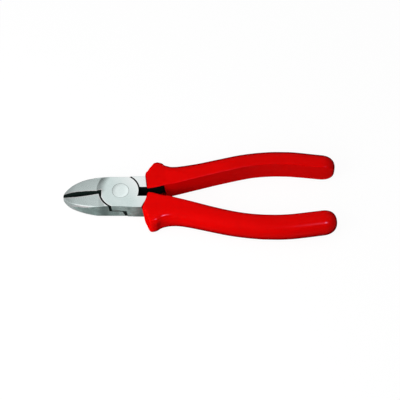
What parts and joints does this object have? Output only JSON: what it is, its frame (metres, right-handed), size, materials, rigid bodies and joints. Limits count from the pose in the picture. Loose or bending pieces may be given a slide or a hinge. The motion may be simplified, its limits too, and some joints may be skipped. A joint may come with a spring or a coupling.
{
  "type": "diagonal cutting pliers",
  "caption": "Diagonal cutting pliers with rounded wedge jaws, a flush riveted lap joint and curved slip-on handle grips that flare into a finger guard.",
  "frame": {"origin": "centre of the pivot rivet's flush end on the back (lower) face of the head", "axes": "+X from the pivot towards the handle ends (the jaws point along -X), +Y across the tool towards the handle of the back lever, +Z along the pivot axis, out of the front face of the head"},
  "size_m": [0.1591, 0.0558, 0.015],
  "materials": {
    "lever_steel": "ground and polished outside, blackened on the cutting bevels and inside faces",
    "rivet_steel": "ground flush with the head",
    "red_grip": "soft gloss red moulded plastic"
  },
  "bodies": {
    "front_half": {"front_lever": "lever_steel", "pivot_rivet": "rivet_steel", "lower_grip": "red_grip"},
    "back_half": {"back_lever": "lever_steel", "upper_grip": "red_grip"}
  },
  "joints": [
    {"name": "pivot", "type": "hinge", "parent": "front_half", "child": "back_half", "pos_m": [0, 0, 0.0055], "axis": [0, 0, 1], "range_deg": [0, 30]}
  ]
}
